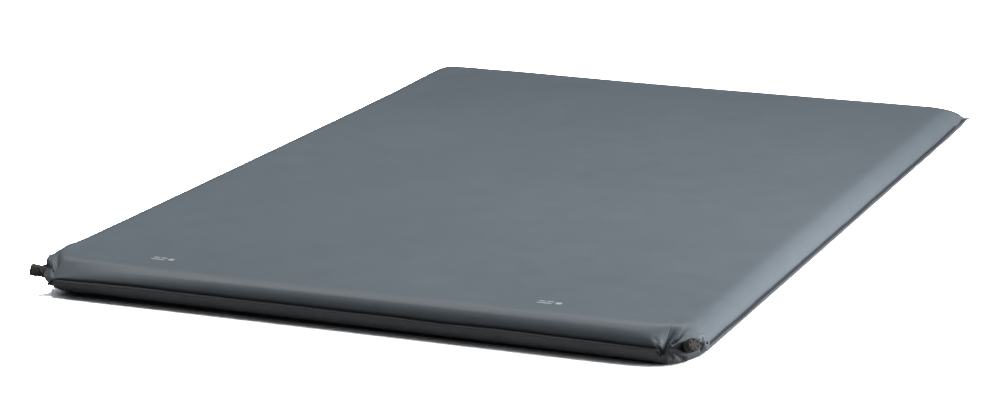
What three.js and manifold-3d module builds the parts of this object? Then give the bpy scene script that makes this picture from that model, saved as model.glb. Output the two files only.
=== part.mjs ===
// Two-person self-inflating sleeping mat, laid flat and inflated, with a twist valve
// at each front corner.
//
// Units are millimetres and +Z is up. The origin is the centre of the underside, on
// the ground. X runs across the mat, Y along it, and both valves are at the -Y (front) end.
//
// Two fabric sheets meet in a thin weld flange a little above mid-height, round a slab of
// open-cell foam. Each valve is a boat-shaped boot between the sheets, a threaded stem
// pressed into it, an O-ring, a sealing disc and a twist cap.
//
// Each valve has its own frame, with its origin at the valve's datum: x across, y up and
// square to the axis, z out along the axis. Names ending in _IN and _OUT are the inner and
// outer ends of a feature along that axis.

import * as THREE from 'three';
import { mergeVertices } from 'three/addons/utils/BufferGeometryUtils.js';
import Module from 'manifold-3d';

const GAP = 0.3;              // clearance between neighbouring pieces
const ROUND = 32;             // sides of the round pieces

// ---- the mat ----
const PAD_WIDTH = 1330;       // over the weld flange
const PAD_LENGTH = 1975;      // over the weld flange
const PAD_HEIGHT = 70;        // inflated
const FLANGE_WIDTH = 8;       // weld flange outside the inflated edge
const FLANGE_HALF = 0.8;      // half the thickness of the flange
const SEAM_Z = 37;            // height of the line where the two sheets meet
const SHEET = 1.0;            // sheet thickness over the foam
const SHOULDER = 38;          // how far the rounded edge reaches in from the seam
const SHOULDER_STEPS = 6;
const EDGE_BAND = 1.6;        // upright band at the seam, before the seam is raised
const FRONT_CORNER = 58;      // leg of the cut-off corner that carries a valve
const BACK_CORNER = 34;       // leg of the small cut-off at a back corner

// ---- where each valve sits ----
const DATUM_IN_X = 24.8;      // datum inwards from the square corner, across the mat
const DATUM_IN_Y = 14.5;      // datum inwards from the square corner, along the mat
const DATUM_Z = 42.4;         // height of the valve axis at its datum
// The two valves lie at slightly different angles, in degrees: the heading is measured
// from the mat's width towards its front, the tilt is upwards.
const VALVES = [
  { name: 'left', side: -1, heading: 33.5, tilt: 16 },
  { name: 'right', side: 1, heading: 45, tilt: 25 },
];
for (const valve of VALVES) valve.frame = valveFrame(valve);

// ---- solids ----
const wasm = await Module();
wasm.setup();

// a closed three.js geometry as a solid that can be joined and cut
function solid(geometry, matrix) {
  const bare = geometry.index ? geometry.toNonIndexed() : geometry.clone();
  bare.deleteAttribute('normal');
  bare.deleteAttribute('uv');
  if (matrix) bare.applyMatrix4(matrix);
  const merged = mergeVertices(bare, 1e-4);
  return new wasm.Manifold(new wasm.Mesh({
    numProp: 3,
    vertProperties: new Float32Array(merged.attributes.position.array),
    triVerts: new Uint32Array(merged.index.array),
  }));
}

function geometryOf(manifold) {
  const mesh = manifold.getMesh();
  const points = new Float32Array(mesh.vertProperties);
  const geometry = new THREE.BufferGeometry();
  geometry.setAttribute('position', new THREE.BufferAttribute(points, 3));
  geometry.setIndex(new THREE.BufferAttribute(new Uint32Array(mesh.triVerts), 1));
  geometry.computeVertexNormals();
  return geometry;
}

const union = (solids) => solids.reduce((joined, next) => joined.add(next));

// a block between two limits along each axis
function box([x0, x1], [y0, y1], [z0, z1], matrix) {
  const geometry = new THREE.BoxGeometry(x1 - x0, y1 - y0, z1 - z0);
  geometry.translate((x0 + x1) / 2, (y0 + y1) / 2, (z0 + z1) / 2);
  return solid(geometry, matrix);
}

// a flat shape drawn out along z
function prism(shape, from, to, matrix) {
  const geometry = new THREE.ExtrudeGeometry(shape, { depth: to - from, bevelEnabled: false });
  geometry.translate(0, 0, from);
  return solid(geometry, matrix);
}

// a turned piece: [radius, z] pairs, anticlockwise, that close on themselves round z
function turned(profile) {
  const points = [...profile, profile[0]].map(([radius, z]) => new THREE.Vector2(radius, z));
  const geometry = new THREE.LatheGeometry(points, ROUND);
  geometry.rotateX(Math.PI / 2);
  return solid(geometry);
}

// ---- flat shapes ----
function polygon(points) {
  const shape = new THREE.Shape(points.map(([x, y]) => new THREE.Vector2(x, y)));
  shape.closePath();
  return shape;
}

const polar = (radius, angle) => [radius * Math.cos(angle), radius * Math.sin(angle)];

function circle(radius, sides = ROUND) {
  return polygon(Array.from({ length: sides }, (_, i) => polar(radius, 2 * Math.PI * i / sides)));
}

// the mat's plan: a rectangle with its corners cut off, every edge moved in by `inset`
function padOutline(inset) {
  const x = PAD_WIDTH / 2 - inset;
  const y = PAD_LENGTH / 2 - inset;
  const shrink = (2 - Math.SQRT2) * inset;
  const front = FRONT_CORNER - shrink;
  const back = BACK_CORNER - shrink;
  return polygon([
    [-x + front, -y], [x - front, -y],
    [x, -y + front], [x, y - back],
    [x - back, y], [-x + back, y],
    [-x, y - back], [-x, -y + front],
  ]);
}

function valveFrame({ side, heading, tilt }) {
  const turn = THREE.MathUtils.degToRad(heading);
  const rise = THREE.MathUtils.degToRad(tilt);
  const flat = new THREE.Vector3(side * Math.cos(turn), -Math.sin(turn), 0);
  const out = flat.clone().multiplyScalar(Math.cos(rise));
  out.z = Math.sin(rise);
  const across = new THREE.Vector3(0, 0, 1).cross(flat).normalize();
  const up = out.clone().cross(across).normalize();
  return new THREE.Matrix4().makeBasis(across, up, out).setPosition(
    side * (PAD_WIDTH / 2 - DATUM_IN_X),
    -PAD_LENGTH / 2 + DATUM_IN_Y,
    DATUM_Z,
  );
}

// =====================================================================================
// The boot: a boat-shaped block with a round collar, bored for the stem
// =====================================================================================
const STEM_R = 7.0;
const BOOT_HALF_WIDTH = 23;
const BOOT_HALF_HEIGHT = 10;
const BOAT_STEPS = 10;        // steps across each curve of the boat section
const BOOT_IN = -26;
const BOOT_OUT = -4;
const BOOT_COLLAR_R = 9.6;
const BOOT_COLLAR_IN = BOOT_IN + 4;
const BOOT_COLLAR_OUT = -1.2;
const BOOT_BORE_R = STEM_R + GAP;
const BOOT_BORE_OUT = 2;      // past the collar
const MOUTH_OVERCUT = 2;      // how far a bore or cavity is cut past its open inner end

// the boat section: two cosine curves meeting in a point at each side
function boat(grow) {
  const half = BOOT_HALF_WIDTH + grow;
  const high = BOOT_HALF_HEIGHT + grow;
  const rise = (x) => high * Math.cos(Math.PI / 2 * x / half);
  const points = [[-half, 0]];
  for (let i = 1; i <= BOAT_STEPS; i++) {
    const x = -half + 2 * half * i / BOAT_STEPS;
    points.push([x, -rise(x)]);
  }
  for (let i = 1; i < BOAT_STEPS; i++) {
    const x = half - 2 * half * i / BOAT_STEPS;
    points.push([x, rise(x)]);
  }
  return polygon(points);
}

function makeBoot() {
  return prism(boat(0), BOOT_IN, BOOT_OUT)
    .add(prism(circle(BOOT_COLLAR_R), BOOT_COLLAR_IN, BOOT_COLLAR_OUT))
    .subtract(prism(circle(BOOT_BORE_R), BOOT_IN - MOUTH_OVERCUT, BOOT_BORE_OUT));
}

// =====================================================================================
// The thread ridges on the stem and in the cap
// =====================================================================================
const THREAD_PITCH = 3.2;
const RIDGE_ROOT_HALF = 0.75; // half-width of a ridge where it leaves the wall
const RIDGE_CREST_HALF = 0.5;
const RIDGE_SINK = 0.4;       // how far a ridge is sunk into its wall
const STEM_RIDGE = { crestRadius: 8.4, start: 5.2, turns: 2.2 };
// the cap's ridge runs half a pitch away from the stem's
const CAP_RIDGE = { crestRadius: 7.4, start: STEM_RIDGE.start - THREAD_PITCH / 2, turns: 0.8 };

// a right-hand ridge whose middle climbs from `start` over `turns`
function ridge(rootRadius, { crestRadius, start, turns }) {
  const sweep = turns * 2 * Math.PI;
  const section = polygon([
    [rootRadius, -RIDGE_ROOT_HALF],
    [crestRadius, -RIDGE_CREST_HALF],
    [crestRadius, RIDGE_CREST_HALF],
    [rootRadius, RIDGE_ROOT_HALF],
  ]);
  const geometry = new THREE.ExtrudeGeometry(section, {
    depth: sweep,
    steps: Math.round(turns * ROUND),
    bevelEnabled: false,
  });
  // wrap the straight bar round the axis, far end first so that its faces stay outwards
  const position = geometry.attributes.position;
  for (let i = 0; i < position.count; i++) {
    const angle = sweep - position.getZ(i);
    const climb = THREE.MathUtils.clamp(angle, 0, sweep) / (2 * Math.PI) * THREAD_PITCH;
    const [x, y] = polar(position.getX(i), angle);
    position.setXYZ(i, x, y, position.getY(i) + start + climb);
  }
  return solid(geometry);
}

// =====================================================================================
// The stem, with a groove for the O-ring between two beads
// =====================================================================================
const STEM_BORE_R = 4.0;
const STEM_IN = -24;
const STEM_TOP = 17.3;
const STEM_TOP_R = 5.6;       // where the outer bead's slope meets the top
const STEM_SHOULDER_R = 9.2;
const STEM_SHOULDER_IN = BOOT_COLLAR_OUT + GAP;
const STEM_SHOULDER_OUT = 0.1;
const BEAD_R = 8.0;
const BEADS_IN = 12.9;
const BEADS_OUT = 16.5;
const GROOVE_R = STEM_R + 0.15;
const GROOVE_IN = 14.0;
const GROOVE_OUT = 16.0;

function makeStem() {
  const body = turned([
    [STEM_BORE_R, STEM_IN],
    [STEM_R, STEM_IN],
    [STEM_R, STEM_SHOULDER_IN],
    [STEM_SHOULDER_R, STEM_SHOULDER_IN],
    [STEM_SHOULDER_R, STEM_SHOULDER_OUT],
    [STEM_R, STEM_SHOULDER_OUT],
    [STEM_R, BEADS_IN],
    [BEAD_R, BEADS_IN],
    [BEAD_R, GROOVE_IN],
    [GROOVE_R, GROOVE_IN],
    [GROOVE_R, GROOVE_OUT],
    [BEAD_R, GROOVE_OUT],
    [BEAD_R, BEADS_OUT],
    [STEM_TOP_R, STEM_TOP],
    [STEM_BORE_R, STEM_TOP],
  ]);
  return body.add(ridge(STEM_R - RIDGE_SINK, STEM_RIDGE));
}

// =====================================================================================
// The seals: an O-ring in the groove, and a disc with a stud that enters the cap
// =====================================================================================
const CAP_WALL_IN = 19.0;     // inside face of the cap's end wall
const RING_MAJOR = 8.32;
const RING_MINOR = 0.85;
const RING_MIDDLE = (GROOVE_IN + GROOVE_OUT) / 2;
const RING_SECTION_SIDES = 10;
const DISC_R = 5.9;
const DISC_SIDES = 28;
const DISC_IN = STEM_TOP + GAP;
const DISC_OUT = CAP_WALL_IN - GAP;
const STUD_R = 1.2;
const STUD_SIDES = 14;
const STUD_IN = DISC_IN + 0.2;
const STUD_OUT = 20.0;

function makeRing() {
  return turned(Array.from({ length: RING_SECTION_SIDES }, (_, i) => {
    const [x, y] = polar(RING_MINOR, 2 * Math.PI * i / RING_SECTION_SIDES);
    return [RING_MAJOR + x, RING_MIDDLE + y];
  }));
}

function makeDisc() {
  return prism(circle(DISC_R, DISC_SIDES), DISC_IN, DISC_OUT)
    .add(prism(circle(STUD_R, STUD_SIDES), STUD_IN, STUD_OUT));
}

// =====================================================================================
// The cap
// =====================================================================================
const CAP_R = 11.2;
const CAP_IN = 0.5;
const CAP_OUT = 21.5;
const CAP_CHAMFER = 1.2;
const CAP_CHAMFER_IN = CAP_OUT - CAP_CHAMFER;
const CAP_END_IN = CAP_OUT - 2;   // inner face of the chamfered end, inside the body
const CAP_CAVITY_R = 9.4;
const RIBS = 18;
const RIB_R = 11.8;
const RIBS_IN = CAP_IN + 3;
const RIBS_OUT = CAP_OUT - 2.2;
// one grip rib: [fraction of the rib spacing, radius]
const RIB_PROFILE = [[0, CAP_R], [0.28, CAP_R], [0.42, RIB_R], [0.86, RIB_R]];
const AIR_HOLES = 6;
const AIR_HOLE_R = 1.5;
const AIR_HOLE_SIDES = 12;
const AIR_RING_R = 7.6;
const SOCKET_R = STUD_R + GAP;
const SOCKET_OUT = STUD_OUT + GAP;
const WALL_OVERCUT = 1;       // how far a hole is cut past a face of the end wall

function gripOutline() {
  const points = [];
  for (let i = 0; i < RIBS; i++) {
    for (const [fraction, radius] of RIB_PROFILE) {
      points.push(polar(radius, (i + fraction) * (2 * Math.PI / RIBS)));
    }
  }
  return polygon(points);
}

function makeCap() {
  const end = turned([
    [0, CAP_END_IN],
    [CAP_R, CAP_END_IN],
    [CAP_R, CAP_CHAMFER_IN],
    [CAP_R - CAP_CHAMFER, CAP_OUT],
    [0, CAP_OUT],
  ]);
  const holesIn = CAP_WALL_IN - WALL_OVERCUT;
  let cap = prism(gripOutline(), RIBS_IN, RIBS_OUT)
    .add(prism(circle(CAP_R), CAP_IN, CAP_CHAMFER_IN))
    .add(end)
    .subtract(prism(circle(CAP_CAVITY_R), CAP_IN - MOUTH_OVERCUT, CAP_WALL_IN))
    .subtract(prism(circle(SOCKET_R, STUD_SIDES), holesIn, SOCKET_OUT));
  const airHole = circle(AIR_HOLE_R, AIR_HOLE_SIDES);
  for (let i = 0; i < AIR_HOLES; i++) {
    const [x, y] = polar(AIR_RING_R, 2 * Math.PI * (i + 0.5) / AIR_HOLES);
    const place = new THREE.Matrix4().makeTranslation(x, y, 0);
    cap = cap.subtract(prism(airHole, holesIn, CAP_OUT + WALL_OVERCUT, place));
  }
  return cap.add(ridge(CAP_CAVITY_R + RIDGE_SINK, CAP_RIDGE));
}

// =====================================================================================
// The sheets and the foam
// =====================================================================================
// Limits in a valve's frame: [low, high] across, up and out.
const FLANGE_OPENING = [[-37, 37], [-60, 60], [-24, 60]];
const FOAM_NOTCH = [[-35, 35], [-90, 90], [-62, 90]];
const SLEEVE_IN = -36;
const SLEEVE_OUT = -3;
const BOOT_ROOM_IN = -75;
const BOOT_ROOM_OUT = 5;
// The ear that carries the flange round a valve: [across, out], where positive `across`
// is the half towards the mat's side edge. That half ends in a small tab beside the cap.
const EAR_OUTLINE = [
  [-39, -36], [39, -36], [36, -12], [30.5, -2.5], [28.5, 2], [25, 3.5],
  [21.5, 2.5], [19.5, 0], [19.5, -3], [-22, -3], [-36, -12],
];
const EYELET = { radius: 2.5, across: 25, out: -1, depth: 8, sides: 16 };  // hole in the tab
const EAR_LIMIT_MARGIN = 5;   // room above and below the mat in the block that trims the ears
const PARTING_HALF_WIDTH = 40;
const PARTING_DOWN = -60;     // reach of a parting block below the valve's mid-plane
const BIG = 2400;             // beyond the mat on every side

// a flat slab with a rounded edge, `skin` inside the mat's outer surface
function envelope(skin) {
  const height = PAD_HEIGHT - 2 * skin;
  const geometry = new THREE.ExtrudeGeometry(padOutline(FLANGE_WIDTH + skin), {
    depth: EDGE_BAND,
    bevelEnabled: true,
    bevelThickness: (height - EDGE_BAND) / 2,
    bevelSize: SHOULDER - skin,
    bevelOffset: -(SHOULDER - skin),
    bevelSegments: SHOULDER_STEPS,
  });
  // the bevel is even above and below, and the seam sits a little above mid-height
  const position = geometry.attributes.position;
  for (let i = 0; i < position.count; i++) {
    const z = position.getZ(i) - EDGE_BAND / 2;
    const reach = z > 0 ? PAD_HEIGHT - skin - SEAM_Z : SEAM_Z - skin;
    position.setZ(i, SEAM_Z + z * reach / (height / 2));
  }
  return solid(geometry);
}

// the flat flange, opened where each ear takes over
function makeFlange() {
  const plate = prism(padOutline(0), SEAM_Z - FLANGE_HALF, SEAM_Z + FLANGE_HALF);
  return VALVES.reduce((rest, { frame }) => rest.subtract(box(...FLANGE_OPENING, frame)), plate);
}

// an ear that follows the valve up out of the seam, and the sleeve round its boot
function makeSleeve({ side, frame }) {
  const ear = polygon(EAR_OUTLINE.map(([across, out]) => [side * across, -out]));
  const layFlat = frame.clone().multiply(new THREE.Matrix4().makeRotationX(-Math.PI / 2));
  return prism(ear, -FLANGE_HALF, FLANGE_HALF, layFlat)
    .add(prism(boat(GAP + SHEET), SLEEVE_IN, SLEEVE_OUT, frame));
}

// room for the boot, and the hole through the ear's tab
function makeValveRoom({ side, frame }) {
  const { radius, across, out, depth, sides } = EYELET;
  const hole = new THREE.CylinderGeometry(radius, radius, depth, sides);
  hole.translate(side * across, 0, out);
  return prism(boat(GAP), BOOT_ROOM_IN, BOOT_ROOM_OUT, frame).add(solid(hole, frame));
}

function makeSkins() {
  // an ear stops where the straight flange would
  const earLimits = box(
    [-PAD_WIDTH / 2, PAD_WIDTH / 2],
    [-PAD_LENGTH / 2, PAD_LENGTH / 2],
    [-EAR_LIMIT_MARGIN, PAD_HEIGHT + EAR_LIMIT_MARGIN],
  );
  return envelope(0)
    .add(makeFlange())
    .add(union(VALVES.map(makeSleeve)).intersect(earLimits))
    .subtract(envelope(SHEET))
    .subtract(union(VALVES.map(makeValveRoom)));
}

// Everything below the parting surface raised by `lift`. The sheets part at the seam, and
// at each valve along its mid-plane, out from where its axis crosses the seam's height.
function belowParting({ lift, floor, reach }) {
  const half = PARTING_HALF_WIDTH + lift;
  const main = box([-BIG, BIG], [-BIG, BIG], [floor, SEAM_Z + lift]);
  return VALVES.reduce((region, { tilt, frame }) => {
    const meet = -(DATUM_Z - SEAM_Z) / Math.sin(THREE.MathUtils.degToRad(tilt));
    return region.add(box([-half, half], [PARTING_DOWN, lift], [meet, reach], frame));
  }, main);
}

function makeFoam() {
  return VALVES.reduce(
    (foam, { frame }) => foam.subtract(box(...FOAM_NOTCH, frame)),
    envelope(SHEET + GAP),
  );
}

const skins = makeSkins();
const topCover = skins.subtract(belowParting({ lift: GAP, floor: -60, reach: 90 }));
const bottomCover = skins.intersect(belowParting({ lift: 0, floor: -50, reach: 80 }));

// =====================================================================================
// The scene graph
// =====================================================================================
const matt = (color, roughness) => (
  new THREE.MeshStandardMaterial({ color, roughness, metalness: 0 })
);
// colour, roughness
const MATERIALS = {
  fabricTop: matt(0x747c83, 0.62),
  fabricBottom: matt(0x33373a, 0.8),
  foam: matt(0xcfc6a4, 0.95),
  softPlastic: matt(0x26292b, 0.6),
  hardPlastic: matt(0x16181a, 0.42),
  rubber: matt(0x101112, 0.7),
  silicone: matt(0x3a3d40, 0.6),
};

function piece(name, manifold, material) {
  const mesh = new THREE.Mesh(geometryOf(manifold), material);
  mesh.name = name;
  return mesh;
}

const group = new THREE.Group();
group.add(piece('top_cover', topCover, MATERIALS.fabricTop));
group.add(piece('bottom_cover', bottomCover, MATERIALS.fabricBottom));
group.add(piece('foam_core', makeFoam(), MATERIALS.foam));

// one valve, closed, in its own frame
const VALVE_PIECES = [
  ['valve_boot', makeBoot(), MATERIALS.softPlastic],
  ['valve_stem', makeStem(), MATERIALS.hardPlastic],
  ['valve_o_ring', makeRing(), MATERIALS.rubber],
  ['valve_seal', makeDisc(), MATERIALS.silicone],
  ['valve_cap', makeCap(), MATERIALS.hardPlastic],
];
for (const { name: sideName, frame } of VALVES) {
  const valve = new THREE.Group();
  for (const [name, manifold, material] of VALVE_PIECES) {
    valve.add(piece(`${name}_${sideName}`, manifold, material));
  }
  frame.decompose(valve.position, valve.quaternion, valve.scale);
  group.add(valve);
}

export default group;
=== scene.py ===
"""An inflated two-person sleeping mat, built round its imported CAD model.

Lengths are metres. The mat lies on z = 0 with its length along y. The front is at -y and
carries a valve on each of its two corners; right is +x. The two cover sheets are one welded
cloth: they start flat, and a cloth simulation inflates them round the foam and the two valve
boots. The simulated mesh is then given its thickness as two closed sheets.
"""
import math
from types import SimpleNamespace

import bmesh
import bpy
import numpy as np
from mathutils import Matrix, Vector
from mathutils.geometry import delaunay_2d_cdt


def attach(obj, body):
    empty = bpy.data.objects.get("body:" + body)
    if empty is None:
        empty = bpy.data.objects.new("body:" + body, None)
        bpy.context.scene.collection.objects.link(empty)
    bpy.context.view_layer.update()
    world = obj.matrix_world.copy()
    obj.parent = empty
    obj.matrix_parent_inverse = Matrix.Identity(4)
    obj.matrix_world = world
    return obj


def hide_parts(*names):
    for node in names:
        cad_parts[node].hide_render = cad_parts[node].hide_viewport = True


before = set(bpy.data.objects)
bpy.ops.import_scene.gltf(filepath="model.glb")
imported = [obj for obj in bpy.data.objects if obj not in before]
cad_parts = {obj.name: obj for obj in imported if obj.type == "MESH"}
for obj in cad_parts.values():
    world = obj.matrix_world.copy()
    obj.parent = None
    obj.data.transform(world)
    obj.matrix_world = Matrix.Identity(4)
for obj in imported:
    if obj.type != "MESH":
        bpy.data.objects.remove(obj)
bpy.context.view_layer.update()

# ---------------------------------------------------------------- sizes of the mat
HALF_W, HALF_L, HIGH = 0.665, 0.9875, 0.070     # over the welded flange, and inflated height
SEAM_Z = 0.037
FLANGE = 0.008
PULL = 0.020                                    # how far inflating draws the weld inwards
FLAT_W, FLAT_L = HALF_W - FLANGE + PULL, HALF_L - FLANGE + PULL     # the weld line while flat
FREE_TOP, FREE_LOW = 0.0522, 0.0578             # sheet between the weld and its glued face
VALVE_CUT = 0.042                               # leg of the cut at the two valve corners
FILLET_FRONT, FILLET_BACK = 0.016, 0.009        # rounding of the weld line's corners
GLUE_R_FRONT, GLUE_R_BACK = 0.030, 0.050        # corner radii of the glued face
RINGS = 14                                      # rings of the grid across the free sheet
WELD_RING = 2                                   # the ring that lies on the weld line
COVER_STEPS = (0.0034, 0.013)                   # column spacing: in the corners, and widest
FOAM_STEPS = (0.010, 0.03)
FAR_OFF = 9.0                                   # stands for "nowhere near"

# ---------------------------------------------------------------- the valves and the sheet there
VALVE_DATUM = (0.6402, -0.973, 0.0424)          # of the right one; the left one mirrors x
# sign of x, degrees turned from the side towards the front, degrees tilted up
VALVE_LIE = {"left": (-1, 33.5, 16.0), "right": (1, 45.0, 25.0)}
BOAT_HALF, BOAT_HIGH = 0.023, 0.010             # half width and half height of the boot's section
SLEEVE_GROW = 0.0004                            # gap between boot and sheet
EAR_OUT = -0.003                                # the flange's edge, along the valve's axis
# where the sheets' hold on the boot ends along that axis: towards the side, towards the front
BOAT_IN = {"left": (-0.013, -0.025), "right": (-0.013, -0.018)}
HOLD_BLEND = 0.016                              # width over which one end passes to the other
SLEEVE_DEEP = 0.004                             # extra depth of the weld beside the boot
# The slack of the weld beside each boot is gathered in folds:
# distance along the weld from the corner's middle, where it is drawn to, lean of the rim.
FOLDS = {
    "left": (
        (0.049, (-0.6150, -0.9920, 0.0240), (-0.25, -1.0, -0.25)),
        (0.066, (-0.6000, -0.9840, 0.0330), (0.0, -1.0, -0.1)),
        (-0.040, (-0.6535, -0.9350, 0.0400), (-1.0, -0.2, 0.3)),
    ),
    "right": (
        (-0.0585, (0.5910, -0.9740, 0.0222), (0.0, -1.0, -0.35)),
        (-0.0400, (0.6035, -0.9775, 0.0372), (0.1, -1.0, 0.25)),
        (0.038, (0.6570, -0.9390, 0.0420), (1.0, -0.2, 0.3)),
    ),
}
FOLD_HALF = 0.0026                              # half width of weld taken by a fold
FOLD_SPREAD = 0.6                               # share of the weld's own x spacing kept in it

# ---------------------------------------------------------------- inflating
FRAMES, RISE_FRAMES = 40, 20                    # whole run; frames to reach the pinned places
PRESSURE = 20.0
BOOST = 3                                       # extra pressure at the front corners
CLOTH = dict(
    quality=5, mass=0.1, air_damping=2.0, bending_model="ANGULAR",
    tension_stiffness=40, compression_stiffness=6, shear_stiffness=5, bending_stiffness=0.3,
    tension_damping=5, compression_damping=5, shear_damping=5, bending_damping=0.5,
    vertex_group_mass="pin", pin_stiffness=1,
    use_pressure=True, use_pressure_volume=False, uniform_pressure_force=PRESSURE * BOOST,
    vertex_group_pressure="press",
)

# ---------------------------------------------------------------- the finished sheets
SKIN_OUT, SKIN_IN = 0.00050, 0.00010            # the two faces of a sheet, off the simulated one
# layer, name, spacing of the middle's points, distances of the extra rings inside the glued edge
SHEETS = (
    (0, "cover_top_sheet", 0.013, (0.002, 0.004, 0.006, 0.009, 0.013, 0.019, 0.028)),
    (1, "cover_bottom_sheet", 0.030, (0.002, 0.004, 0.007, 0.012, 0.024)),
)
# painted shade over the welded rim and, at the front, the foot of the wall above it, 1 to 0, ring by
# ring from the flange's edge
RIM_SHADE_TOP_FRONT = (1, 1, 1, 1, 1, 1, 0.85, 0.55, 0.25)
RIM_SHADE_TOP_SIDES = (0.82, 0.82, 0.82, 0.72, 0.3, 0, 0, 0, 0)
RIM_SHADE_BOTTOM = (1, 1, 1, 0.8, 0.3)


# ---------------------------------------------------------------- plan curves
def unit(vector):
    return vector / np.linalg.norm(vector)


def unit_rows(rows):
    return rows / np.linalg.norm(rows, axis=1)[:, None]


def inward_of(ring):
    """Unit normals pointing into an anticlockwise closed ring of plan points."""
    tangent = unit_rows(np.roll(ring, -1, 0) - np.roll(ring, 1, 0))
    return np.stack([-tangent[:, 1], tangent[:, 0]], 1)


def filleted(points, radius):
    """A dense path through corner points, each inner one rounded by the radius."""
    path = [np.array(points[0], float)]
    for i in range(1, len(points) - 1):
        before, corner, after = (np.array(points[i + k], float) for k in (-1, 0, 1))
        back, ahead = unit(before - corner), unit(after - corner)
        angle = math.acos(np.clip(back @ ahead, -1, 1))
        cut = radius / math.tan(angle / 2)
        centre = corner + unit(back + ahead) * radius / math.sin(angle / 2)
        start, end = corner + back * cut - centre, corner + ahead * cut - centre
        turn = math.atan2(start[0] * end[1] - start[1] * end[0], start @ end)
        for k in range(13):
            cos, sin = math.cos(turn * k / 12), math.sin(turn * k / 12)
            path.append(centre + np.array([start[0] * cos - start[1] * sin,
                                           start[0] * sin + start[1] * cos]))
    path.append(np.array(points[-1], float))
    return np.array(path)


def measured(path):
    """The path without repeated points, and the distance along it at each point."""
    step = np.linalg.norm(np.diff(path, axis=0), axis=1)
    path = path[np.concatenate([[True], step > 1e-9])]
    step = np.linalg.norm(np.diff(path, axis=0), axis=1)
    return path, np.concatenate([[0], np.cumsum(step)])


def resampled(path, distance, fractions):
    """Points at fractions of a measured path, and the outward normals there."""
    whole = distance[-1]
    at = np.asarray(fractions) * whole
    reach = 0.0012      # the direction is taken over this much either side

    def points(where):
        return np.stack([np.interp(where, distance, path[:, i]) for i in (0, 1)], 1)

    tangent = unit_rows(points(np.clip(at + reach, 0, whole))
                        - points(np.clip(at - reach, 0, whole)))
    return points(at), np.stack([tangent[:, 1], -tangent[:, 0]], 1)


def graded(length, first, growth, widest):
    """Fractions 0..1 along a straight run, fine at both ends."""
    half, x, step = [0.0], 0.0, first
    while x + step < length / 2:
        x += step
        half.append(x)
        step = min(step * growth, widest)
    half = np.array(half)
    if length / 2 - half[-1] < step / 2:
        half *= (length / 2) / (half[-1] + step / 2)
    return np.concatenate([half, (length - half)[::-1]]) / length


def quarter_arc(x, y, radius, first_angle, fractions):
    angle = np.radians(first_angle) + np.asarray(fractions) * math.pi / 2
    return np.stack([x + radius * np.cos(angle), y + radius * np.sin(angle)], 1)


def columns(step, widest):
    """The columns of the sheet's grid, anticlockwise from the front left.

    Each has a point on the weld line, its outward normal, the glued edge of the top and of the
    bottom sheet, the distance from the middle of a valve corner, and that corner's sign of x.
    """
    glued_x, glued_y = FLAT_W - FREE_TOP, FLAT_L - FREE_TOP
    front_x, front_y = glued_x - GLUE_R_FRONT, glued_y - GLUE_R_FRONT
    back_x, back_y = glued_x - GLUE_R_BACK, glued_y - GLUE_R_BACK
    wide, deep, cut = FLAT_W, FLAT_L, VALVE_CUT

    def straight(start, end, normal):
        start, end, normal = (np.array(each, float) for each in (start, end, normal))
        fractions = graded(np.linalg.norm(end - start), step * 1.1, 1.09, widest)
        weld = start + (end - start) * fractions[:, None]
        count = len(fractions)
        return (weld, np.repeat(normal[None], count, 0), weld - normal * FREE_TOP,
                weld - normal * FREE_LOW, np.full(count, FAR_OFF), np.zeros(count))

    def corner(points, first_angle, sign_x, sign_y):
        front = sign_y < 0
        radius = GLUE_R_FRONT if front else GLUE_R_BACK
        path, distance = measured(filleted(points, FILLET_FRONT if front else FILLET_BACK))
        length = distance[-1]
        fractions = np.linspace(0, 1, int(round(length / step)) + 1)
        weld, normal = resampled(path, distance, fractions)
        centre = sign_x * (glued_x - radius), sign_y * (glued_y - radius)
        top = quarter_arc(*centre, radius, first_angle, fractions)
        # the bottom sheet is glued a little further in, round the same centre
        low = quarter_arc(*centre, radius - (FREE_LOW - FREE_TOP), first_angle, fractions)
        count = len(fractions)
        along = (fractions - 0.5) * length if front else np.full(count, FAR_OFF)
        return weld, normal, top, low, along, np.full(count, float(sign_x) if front else 0.0)

    parts = [
        straight((-front_x, -deep), (front_x, -deep), (0, -1)),
        corner([(front_x, -deep), (wide - cut, -deep), (wide, -deep + cut), (wide, -front_y)],
               -90, 1, -1),
        straight((wide, -front_y), (wide, back_y), (1, 0)),
        corner([(wide, back_y), (wide, deep), (back_x, deep)], 0, 1, 1),
        straight((back_x, deep), (-back_x, deep), (0, 1)),
        corner([(-back_x, deep), (-wide, deep), (-wide, back_y)], 90, -1, 1),
        straight((-wide, back_y), (-wide, -front_y), (-1, 0)),
        corner([(-wide, -front_y), (-wide, -deep + cut), (-wide + cut, -deep),
                (-front_x, -deep)], 180, -1, -1),
    ]
    return [np.concatenate([part[i][:-1] for part in parts]) for i in range(6)]


# ---------------------------------------------------------------- the flat grid and its pinned places
def valve_axes(side):
    """A valve's datum and its unit axes: across, up and out of the mat."""
    sign, heading, tilt = VALVE_LIE[side]
    heading, tilt = math.radians(heading), math.radians(tilt)
    out = np.array([sign * math.cos(heading) * math.cos(tilt),
                    -math.sin(heading) * math.cos(tilt), math.sin(tilt)])
    level = np.array([sign * math.cos(heading), -math.sin(heading), 0.0])
    across = np.cross([0, 0, 1.0], level)
    x, y, z = VALVE_DATUM
    return np.array([sign * x, y, z]), across, np.cross(out, across), out


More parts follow.
